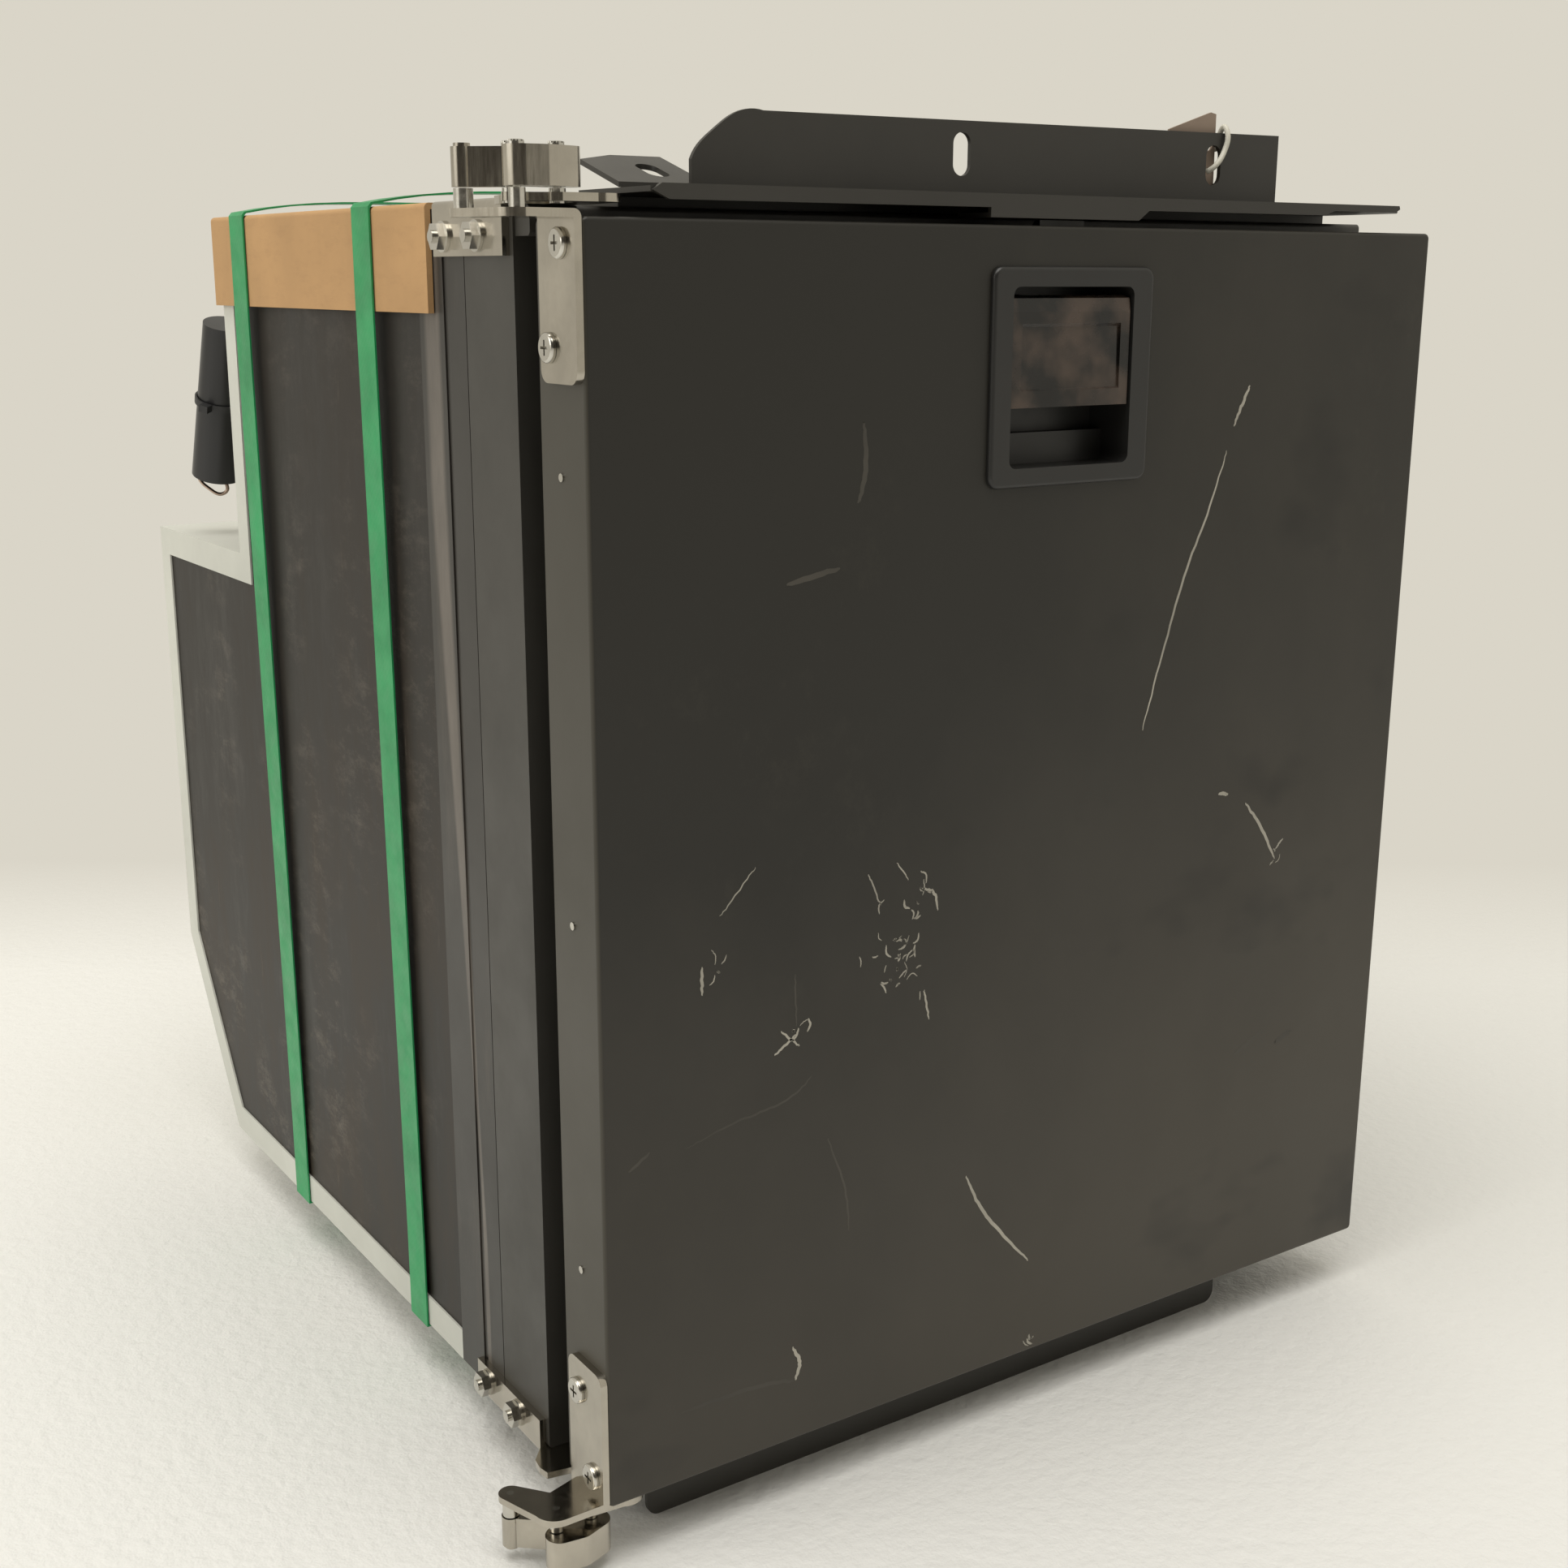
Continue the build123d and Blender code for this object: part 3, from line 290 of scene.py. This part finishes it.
def side_material():
    """Side sheets: black-brown with rubbed brown patches and pale scuffs low down."""
    base = (0.0125, 0.0100, 0.0078)
    g = Graph("side sheet", base, 0.46)
    rub = g.noise(9.0, stretch=(1, 2.2, 0.6), detail=7.0, rough=0.72)
    fine = g.noise(60.0, stretch=(1, 3.0, 0.35), detail=6.0, rough=0.8, shift=(4, 4, 4))
    scuff = g.noise(55.0, stretch=(1, 0.6, 1.3), detail=8.0, rough=0.85, shift=(2, 9, 4))
    patch = g.ramp(g.noise(8.0, stretch=(1, 1.3, 0.8), detail=4.0, shift=(6, 1, 8)), 0.47, 0.60)
    low_end = g.ramp(g.axis("Z"), 0.10, 0.45, 1.0, 0.3)
    brown = g.math("MULTIPLY", g.ramp(rub, 0.45, 0.68, 0.0, 0.8), low_end)
    scraped = g.math("MULTIPLY", g.math("MULTIPLY", g.ramp(scuff, 0.50, 0.68, 0.0, 0.75), patch), low_end)
    pale = g.math("MULTIPLY", g.ramp(fine, 0.6, 0.76, 0.0, 0.5), g.ramp(rub, 0.5, 0.66))
    toned = g.mix(brown, base, (0.060, 0.046, 0.034))
    toned = g.mix(scraped, toned, (0.150, 0.128, 0.105))
    g.colour(g.mix(pale, toned, (0.22, 0.185, 0.15)))
    g.shader.inputs["Specular IOR Level"].default_value = 0.3
    g.roughness(g.ramp(rub, 0.3, 0.7, 0.38, 0.58))
    g.bump(g.noise(1400.0, detail=2.0), 0.2, 0.00006)
    g.bump(fine, 0.12, 0.0002)
    return g.mat


def strap_material():
    """Embossed green strapping with worn high spots."""
    base = (0.010, 0.27, 0.085)
    g = Graph("strap", base, 0.4)
    ribs = g.tree.nodes.new("ShaderNodeTexWave")
    ribs.inputs["Scale"].default_value = 190.0
    ribs.bands_direction = "DIAGONAL"
    g.link(g.coord.outputs["Object"], ribs.inputs["Vector"])
    g.colour(g.mix(g.ramp(g.noise(30.0, detail=5.0), 0.3, 0.75), shade(base, 0.82), shade(base, 1.3)))
    g.bump(ribs.outputs["Fac"], 0.14, 0.00012)
    g.roughness(g.ramp(g.noise(90.0, detail=4.0), 0.3, 0.7, 0.34, 0.52))
    return g.mat


def cardboard_material():
    """Brown board with darker fibres."""
    base = (0.46, 0.275, 0.125)
    g = Graph("cardboard", base, 0.85)
    fibre = g.noise(160.0, stretch=(1.0, 0.35, 1.4), detail=7.0, rough=0.75)
    soft = g.noise(14.0, detail=4.0)
    toned = g.mix(g.ramp(soft, 0.3, 0.7), shade(base, 0.9), shade(base, 1.1))
    g.colour(g.mix(g.ramp(fibre, 0.5, 0.75, 0.0, 0.25), toned, (0.28, 0.155, 0.07)))
    g.bump(fibre, 0.25, 0.00025)
    return g.mat


def foam_material():
    """Rigid insulation foam with open cells."""
    base = (0.72, 0.62, 0.36)
    g = Graph("rigid foam", base, 0.9)
    g.colour(g.mix(g.ramp(g.cells(420.0), 0.1, 0.5), shade(base, 0.85), shade(base, 1.1)))
    g.bump(g.cells(420.0), 0.4, 0.0004)
    return g.mat


def build_materials():
    """Every material by its slot's name, and a few for single nodes and added pieces."""
    return {
        "door_paint": door_material(),
        "skirt_paint": skirt_material(),
        "paddle_plastic": paddle_material(),
        "frame_paint": side_material(),
        "frame_plastic": moulded("front frame", (0.034, 0.0315, 0.0265), 0.42, grain=1800.0).mat,
        "wrapper_paint": painted("wrapper sheet", (0.60, 0.61, 0.56), 0.45, dust=(0.42, 0.40, 0.34),
                                 dust_amount=0.2, grain=900.0).mat,
        "flange_paint": painted("flange paint", (0.026, 0.024, 0.020), 0.40, dust=(0.12, 0.11, 0.09),
                                dust_amount=0.12).mat,
        "insulation_foam": foam_material(),
        "liner_plastic": moulded("liner", (0.78, 0.79, 0.78), 0.25, grain=700.0, strength=0.08,
                                 mottle=0.02).mat,
        "clear_plastic": moulded("tinted moulding", (0.70, 0.76, 0.79), 0.15, strength=0.05, mottle=0.03).mat,
        "evaporator_metal": metal("rolled aluminium", (0.78, 0.79, 0.80), 0.32, stretch=(0.2, 6, 6)).mat,
        "white_plastic": moulded("white moulding", (0.78, 0.77, 0.73), 0.4, mottle=0.04).mat,
        "lamp_plastic": moulded("lamp lens", (0.86, 0.84, 0.74), 0.3, mottle=0.03).mat,
        "shelf_wire": metal("plated wire", (0.80, 0.81, 0.82), 0.14, scale=120.0).mat,
        "plate_zinc": metal("zinc plate", (0.58, 0.57, 0.53), 0.38, scale=180.0, stain=0.75).mat,
        "rubber_black": moulded("black rubber", (0.008, 0.008, 0.008), 0.62, grain=900.0, strength=0.3).mat,
        "line_foam": moulded("line cladding", (0.010, 0.010, 0.011), 0.30, grain=600.0, strength=0.35).mat,
        "compressor_paint": painted("compressor paint", (0.012, 0.012, 0.012), 0.22, dust=(0.1, 0.1, 0.1),
                                    dust_amount=0.1).mat,
        "black_plastic": moulded("black moulding", (0.014, 0.014, 0.015), 0.42).mat,
        "copper": metal("copper", (0.72, 0.36, 0.22), 0.24, scale=90.0, stain=0.6).mat,
        "capillary": metal("tinned copper", (0.62, 0.47, 0.38), 0.24, scale=90.0, stain=0.5).mat,
        "hinge_steel": metal("hinge steel", (0.50, 0.465, 0.40), 0.16, stretch=(3, 3, 0.3), scale=160.0,
                             strength=0.12, stain=0.8).mat,
        "fastener_steel": metal("fastener steel", (0.60, 0.58, 0.53), 0.2, scale=420.0).mat,
        "latch_plastic": moulded("latch moulding", (0.0145, 0.0142, 0.0135), 0.36, grain=1600.0).mat,
        "strap_plastic": strap_material(),
        "cardboard": cardboard_material(),
        "tag_card": moulded("tag card", (0.30, 0.23, 0.18), 0.8, grain=500.0, strength=0.4, mottle=0.15).mat,
        "tie_plastic": moulded("tie", (0.62, 0.60, 0.52), 0.4).mat,
        "scratch": moulded("bared scratch", (0.36, 0.34, 0.29), 0.5, mottle=0.3).mat,
        "faint_scratch": moulded("faint scratch", (0.048, 0.043, 0.034), 0.5, mottle=0.3).mat,
    }


materials = build_materials()
OWN_MATERIAL = {
    "tag_tie": "tie_plastic",
    "frame_skirt": "skirt_paint",
    "latch_paddle": "paddle_plastic",
    "capillary_loop": "capillary",
}


def dress_nodes():
    """Give each CAD node its own material, or that of its slot."""
    for part in record["subparts"]:
        obj = nodes[part["node"]]
        material = materials[OWN_MATERIAL.get(part["node"], part["material_slot"])]
        obj.data.materials.clear()
        obj.data.materials.append(material)


dress_nodes()


# ---------------------------------------------------------------- small added pieces
def mesh_object(name, verts, faces, material, body):
    """A flat-shaded piece that rides on a body."""
    mesh = bpy.data.meshes.new(name)
    mesh.from_pydata([tuple(v) for v in verts], [], faces)
    mesh.update()
    obj = bpy.data.objects.new(name, mesh)
    scene.collection.objects.link(obj)
    obj.data.materials.append(material)
    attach(obj, body)


door_lo, door_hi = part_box("door_skin")
DOOR_W = door_hi.x - door_lo.x
DOOR_H = door_hi.z - door_lo.z
FILM = 0.00004  # metres that a mark stands off the paint


def on_door(u, v):
    """A point on the door's face from fractions of its width and height."""
    return Vector((door_lo.x + u * DOOR_W, door_lo.y - FILM, door_lo.z + v * DOOR_H))


def ribbon(points, width, across):
    """A thin strip along the points, tapered at both ends."""
    verts, faces = [], []
    count = len(points)
    for i, p in enumerate(points):
        ahead = points[min(i + 1, count - 1)] - points[max(i - 1, 0)]
        side = ahead.cross(across).normalized()
        half = width / 2 * math.sin(math.pi * (0.08 + 0.84 * i / (count - 1)))
        verts += [p + side * half, p - side * half]
        if i:
            faces.append((2 * i - 2, 2 * i, 2 * i + 1, 2 * i - 1))
    return verts, faces


def trail(corners, rng, jitter=0.0006, rounds=3):
    """Points on the door along a rounded path through the corners, slightly shaky."""
    path = [Vector(c) for c in corners]
    for _ in range(rounds):
        cut = [path[0]]
        for a, b in zip(path, path[1:]):
            cut += [a.lerp(b, 0.25), a.lerp(b, 0.75)]
        path = cut + [path[-1]]
    return [on_door(p.x + rng.uniform(-1, 1) * jitter, p.y + rng.uniform(-1, 1) * jitter) for p in path]


# Each mark: its corners as fractions of the door's width and height, then its width,
# in SCRATCH_WIDTH for the long ones and in millimetres for the faint ones.
LONG_SCRATCHES = [
    (((0.745, 0.869), (0.737, 0.855), (0.726, 0.835)), 1.3),
    (((0.718, 0.814), (0.698, 0.762), (0.669, 0.711), (0.645, 0.645), (0.621, 0.574)), 1.0),
    (((0.776, 0.488), (0.804, 0.460), (0.826, 0.427)), 1.3),
    (((0.409, 0.196), (0.426, 0.165), (0.453, 0.134), (0.495, 0.093)), 1.3),
    (((0.201, 0.088), (0.211, 0.071), (0.204, 0.056)), 1.4),
    (((0.103, 0.443), (0.103, 0.420)), 1.1),
    (((0.122, 0.481), (0.159, 0.515)), 0.5),
    (((0.180, 0.355), (0.203, 0.368)), 0.9),
    (((0.187, 0.374), (0.207, 0.358)), 0.8),
    (((0.283, 0.492), (0.298, 0.463)), 0.6),
    (((0.316, 0.497), (0.330, 0.480)), 0.5),
    (((0.345, 0.470), (0.362, 0.466), (0.366, 0.448)), 1.0),
    (((0.351, 0.380), (0.358, 0.353)), 0.8),
    (((0.735, 0.502), (0.749, 0.500)), 1.4),
]
FAINT_SCRATCHES = [
    (((0.085, 0.295), (0.132, 0.306), (0.180, 0.310), (0.207, 0.318), (0.221, 0.329)), 1.0),
    (((0.026, 0.288), (0.047, 0.300)), 1.4),
    (((0.204, 0.056), (0.167, 0.064), (0.077, 0.064)), 2.0),
    (((0.782, 0.236), (0.825, 0.253)), 2.6),
    (((0.846, 0.237), (0.871, 0.245)), 3.0),
    (((0.192, 0.734), (0.248, 0.743)), 2.4),
    (((0.272, 0.853), (0.276, 0.816), (0.267, 0.792)), 2.4),
    (((0.202, 0.420), (0.204, 0.375)), 0.8),
    (((0.240, 0.270), (0.262, 0.220), (0.266, 0.180)), 1.0),
]
SCRATCH_WIDTH = 1.3 * MM
CLUSTER = (0.316, 0.412)
CLUSTER_MARKS, CLUSTER_SPREAD = 30, 0.017
SPECK_MARKS, SPECK_SPREAD = 4, 0.005
SPECK_PLACES = [(0.116, 0.434), (0.205, 0.365), (0.336, 0.452),
                (0.352, 0.469), (0.826, 0.425), (0.503, 0.012)]


def door_scratches():
    """Bright and faint scratches of the door face, and short marks scattered round a few places."""
    rng = random.Random(5)
    out = Vector((0, -1, 0))
    bright = [(trail(corners, rng), width * SCRATCH_WIDTH) for corners, width in LONG_SCRATCHES]
    faint = [(trail(corners, rng), width * MM) for corners, width in FAINT_SCRATCHES]
    groups = [(CLUSTER, CLUSTER_MARKS, CLUSTER_SPREAD)]
    groups += [(place, SPECK_MARKS, SPECK_SPREAD) for place in SPECK_PLACES]
    for place, count, spread in groups:
        for _ in range(count):
            at = Vector(place) + Vector((rng.gauss(0, spread), rng.gauss(0, spread)))
            turn = rng.uniform(0, math.pi)
            reach = Vector((math.cos(turn), math.sin(turn))) * rng.uniform(0.003, 0.014)
            bend = Vector((-reach.y, reach.x)) * rng.uniform(-0.4, 0.4)
            corners = (at, at + reach * 0.5 + bend, at + reach)
            bright.append((trail(corners, rng, 0.0003), rng.uniform(0.4, 1.2) * MM))
    sets = (("door_scratches", bright, "scratch"), ("door_hairlines", faint, "faint_scratch"))
    for name, marks, material in sets:
        verts, faces = [], []
        for points, width in marks:
            v, f = ribbon(points, width, out)
            faces += [tuple(i + len(verts) for i in face) for face in f]
            verts += v
        mesh_object(name, verts, faces, materials[material], "door")


door_scratches()


def fluted_cap(centre, radius, height, up, flutes=10):
    """Short pin head with flutes round its edge and a small dome."""
    verts, faces = [], []
    around = flutes * 4
    levels = [(0.0, 1.0), (0.7, 1.0), (1.0, 0.78)]
    for t, shrink in levels:
        for i in range(around):
            angle = 2 * math.pi * i / around
            r = radius * shrink * (1 - (0.10 if i % 4 == 0 else 0.0))
            verts.append(centre + Vector((r * math.cos(angle), r * math.sin(angle), up * height * t)))
    for k in range(len(levels) - 1):
        for i in range(around):
            j = (i + 1) % around
            face = (k * around + i, k * around + j, (k + 1) * around + j, (k + 1) * around + i)
            faces.append(face if up > 0 else face[::-1])
    last = (len(levels) - 1) * around
    top = tuple(last + i for i in range(around))
    faces.append(top if up > 0 else top[::-1])
    return verts, faces


CAP_BODIES = {"door_swing": "door", "link_swing": "cabinet", "inner_link_swing": "cabinet"}
CAP_RADIUS = 2.9 * MM
CAP_HEIGHT = 0.7 * MM
PIN_HEAD = 1.2 * MM


def pin_caps():
    """Fluted heads on the three pins that show on each hinge."""
    joints = {j["name"]: j for j in frame["joints"]}
    for node, side, sign in (("outer_link_top", "top", 1), ("outer_link_bottom", "bottom", -1)):
        lo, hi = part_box(node)
        face_z = hi.z + PIN_HEAD if sign > 0 else lo.z - PIN_HEAD
        for name, body in CAP_BODIES.items():
            at = joints[name]["pos_m"]
            verts, faces = fluted_cap(Vector((at[0], at[1], face_z)), CAP_RADIUS, CAP_HEIGHT, sign)
            mesh_object(f"cap_{name}_{side}", verts, faces, materials["fastener_steel"], body)


pin_caps()


# ---------------------------------------------------------------- surroundings
BACKDROP = (0.86, 0.817, 0.71)
BACKDROP_STRENGTH = 0.814
LIGHT_COLOUR = (1.0, 0.98, 0.94)
FLOOR_COLOUR = (0.84, 0.84, 0.825)
FLOOR_HALF = 14.0
WALL_START = 1.44
WALL_BLEND = 0.30
ROOM_DISTANCE = 1.1
ROOM_HALF_WIDTH = 1.7
ROOM_LOW = 0.45
ROOM_HIGH = 2.4


def make_floor():
    """Pale floor that runs into a backdrop of the world's own colour."""
    corners = [(x * FLOOR_HALF, y * FLOOR_HALF, cad_lo.z) for x, y in ((-1, -1), (1, -1), (1, 1), (-1, 1))]
    mesh = bpy.data.meshes.new("floor")
    mesh.from_pydata(corners, [], [(0, 1, 2, 3)])
    floor = bpy.data.objects.new("floor", mesh)
    scene.collection.objects.link(floor)
    g = Graph("floor", FLOOR_COLOUR, 0.5)
    along = g.math("ADD", g.math("MULTIPLY", g.axis("X"), math.sin(HEADING)),
                   g.math("MULTIPLY", g.axis("Y"), math.cos(HEADING)))
    from_camera = CAMERA_AT[0] * math.sin(HEADING) + CAMERA_AT[1] * math.cos(HEADING)
    beyond = g.ramp(along, from_camera + WALL_START, from_camera + WALL_START + WALL_BLEND)
    g.bump(g.noise(120.0, detail=3.0), 0.6, 0.002)
    g.glow(beyond, BACKDROP, BACKDROP_STRENGTH)
    floor.data.materials.append(g.mat)


def make_dark_room():
    """A dim wall behind the camera, so sheet and steel mirror something darker than the backdrop."""
    away = Vector((-math.sin(HEADING), -math.cos(HEADING), 0))
    along = Vector((away.y, -away.x, 0))
    foot = Vector((CAMERA_AT[0], CAMERA_AT[1], cad_lo.z)) + away * ROOM_DISTANCE
    corners = [foot + along * side * ROOM_HALF_WIDTH + Vector((0, 0, height))
               for side, height in ((-1, ROOM_LOW), (1, ROOM_LOW), (1, ROOM_HIGH), (-1, ROOM_HIGH))]
    mesh = bpy.data.meshes.new("dim wall")
    mesh.from_pydata([tuple(c) for c in corners], [], [(0, 1, 2, 3)])
    wall = bpy.data.objects.new("dim wall", mesh)
    scene.collection.objects.link(wall)
    wall.data.materials.append(Graph("dim wall", (0.05, 0.045, 0.04), 0.9).mat)


def make_light(name, at, target, size, power):
    """A warm rectangular area light that faces a target."""
    data = bpy.data.lights.new(name, "AREA")
    data.shape = "RECTANGLE"
    data.size, data.size_y = size
    data.energy = power
    data.color = LIGHT_COLOUR
    light = bpy.data.objects.new(name, data)
    light.location = at
    light.rotation_euler = (Vector(target) - Vector(at)).to_track_quat("-Z", "Y").to_euler()
    scene.collection.objects.link(light)


def make_world():
    world = bpy.data.worlds.new("studio")
    world.use_nodes = True
    background = world.node_tree.nodes["Background"]
    background.inputs["Color"].default_value = (*BACKDROP, 1)
    background.inputs["Strength"].default_value = BACKDROP_STRENGTH
    scene.world = world


make_floor()
make_dark_room()
make_world()
make_light("overhead", at=(-0.5, -0.6, 2.6), target=(0, 0, 0.2), size=(2.2, 1.6), power=40)
make_light("left window", at=(-2.6, 0.2, 1.5), target=(0, 0, 0.25), size=(1.6, 1.6), power=18)
scene.view_settings.view_transform = "Standard"
